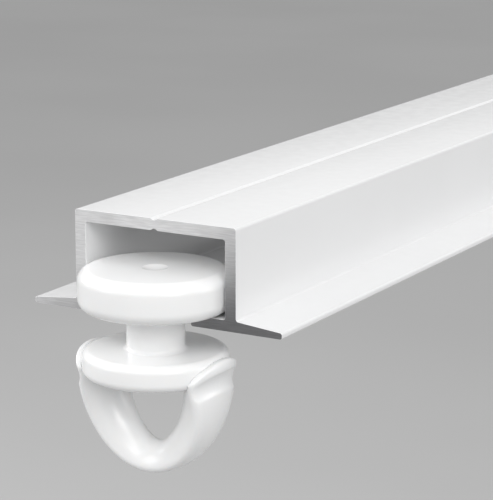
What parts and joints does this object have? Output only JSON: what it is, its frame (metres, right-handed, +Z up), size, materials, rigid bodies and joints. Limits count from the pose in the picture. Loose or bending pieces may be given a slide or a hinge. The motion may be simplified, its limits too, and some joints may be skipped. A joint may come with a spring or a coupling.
{
  "type": "ceiling curtain track",
  "caption": "Short length of white recessed ceiling curtain track with flanges, and a gliding runner whose swivelling hoop carries a curtain hook.",
  "frame": {"origin": "on the groove line of the track's top face, in the plane of the open end where the glider stands", "axes": "+Y along the track away from the open end, +Z up through the top face into the ceiling, +X to the right across the track seen from the open end"},
  "size_m": [0.0324, 0.2585, 0.0292],
  "materials": {
    "white_coat": "semi-gloss white powder coat, bare metal on the sawn ends",
    "white_nylon": "glossy moulded nylon",
    "hoop_nylon": "glossy moulded nylon"
  },
  "bodies": {
    "track": {"track_profile": "white_coat"},
    "glider": {"glider_body": "white_nylon"},
    "hoop": {"glider_hoop": "hoop_nylon"}
  },
  "joints": [
    {"name": "glider_slide", "type": "slide", "parent": "track", "child": "glider", "axis": [0, 1, 0], "range_m": [0, 0.241]},
    {"name": "hoop_swivel", "type": "hinge", "parent": "glider", "child": "hoop", "pos_m": [0, 0.0002, -0.0163], "axis": [0, 0, 1], "continuous": true}
  ]
}
